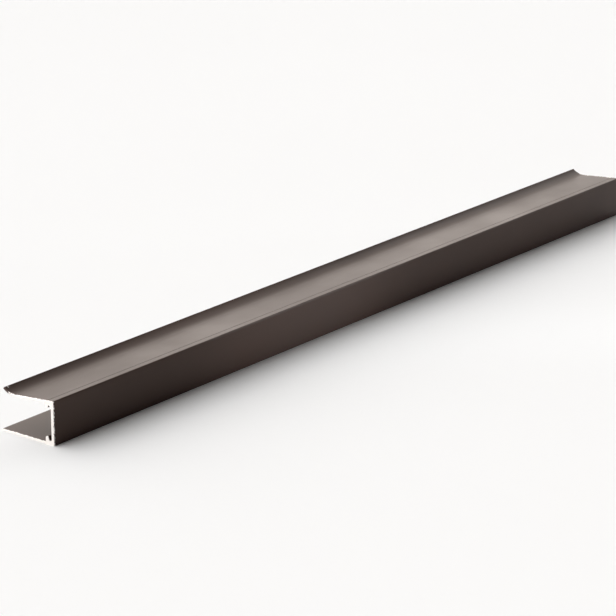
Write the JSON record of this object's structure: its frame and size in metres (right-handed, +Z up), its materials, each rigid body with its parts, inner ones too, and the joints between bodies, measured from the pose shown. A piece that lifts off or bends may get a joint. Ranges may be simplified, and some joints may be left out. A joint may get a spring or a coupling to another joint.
{
  "type": "aluminium edge channel profile",
  "caption": "Brown coated aluminium channel extrusion with a toed-in, flared upper flange and inner stop ribs, for capping the edge of a multiwall glazing sheet.",
  "frame": {"origin": "centre of the underside of the lower flange, halfway along the length", "axes": "+X along the length, +Y towards the open side of the channel, +Z up from the lower flange it lies on"},
  "size_m": [0.432, 0.0304, 0.0201],
  "materials": {
    "brown_coat": "satin"
  },
  "bodies": {
    "root": {"edge_channel": "brown_coat"}
  },
  "joints": []
}
